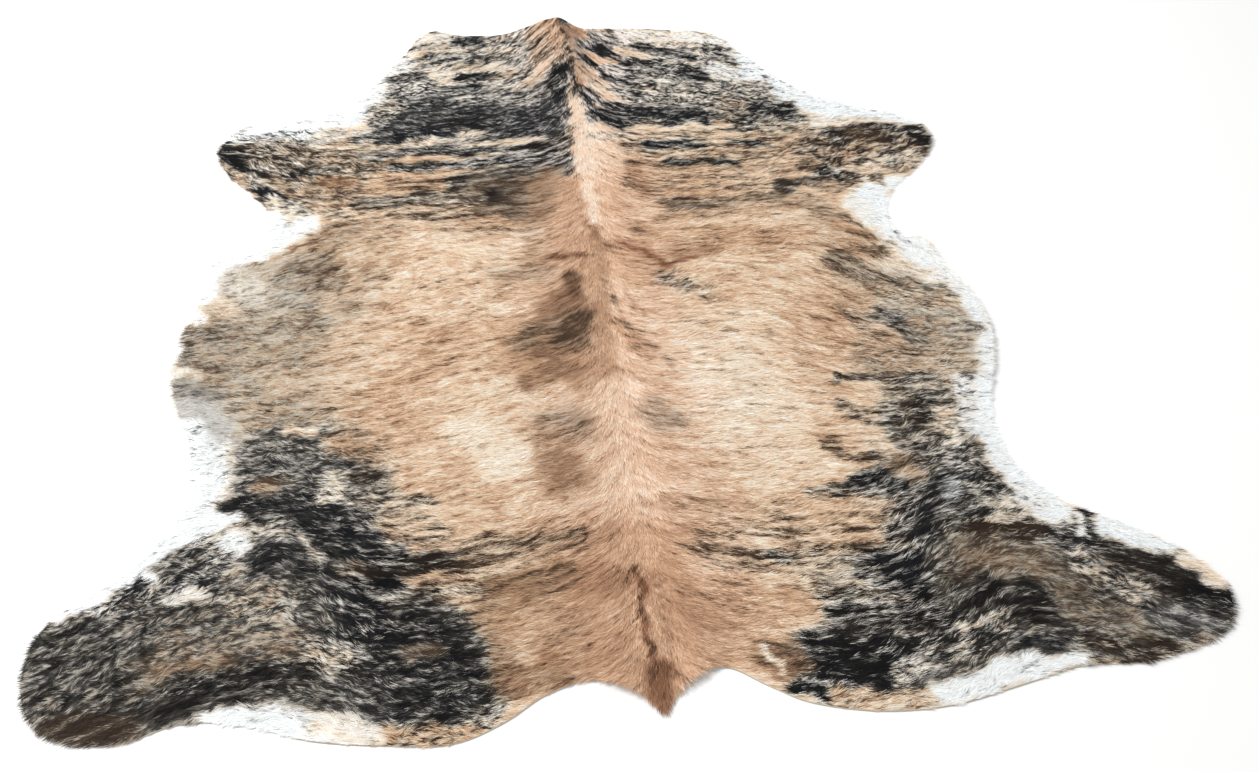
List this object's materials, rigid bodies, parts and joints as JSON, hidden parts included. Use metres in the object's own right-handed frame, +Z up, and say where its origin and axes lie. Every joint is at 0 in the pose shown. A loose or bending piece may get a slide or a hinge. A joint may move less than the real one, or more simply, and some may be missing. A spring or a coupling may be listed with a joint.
{
  "type": "cowhide rug",
  "caption": "Whole brindle cowhide lying hair side up as a floor rug, with its neck, fore legs, belly edges, hind legs and tail root in outline.",
  "frame": {"origin": "on the floor under the middle of the hide's outline", "axes": "+Y along the spine from the tail root to the neck, +X to the right seen from the tail end, +Z up, hair side up"},
  "size_m": [2.1034, 2.149, 0.0439],
  "materials": {
    "hair": "short lying hair, satin sheen",
    "suede": "matt suede"
  },
  "bodies": {
    "root": {"hide": "hair"}
  },
  "joints": []
}
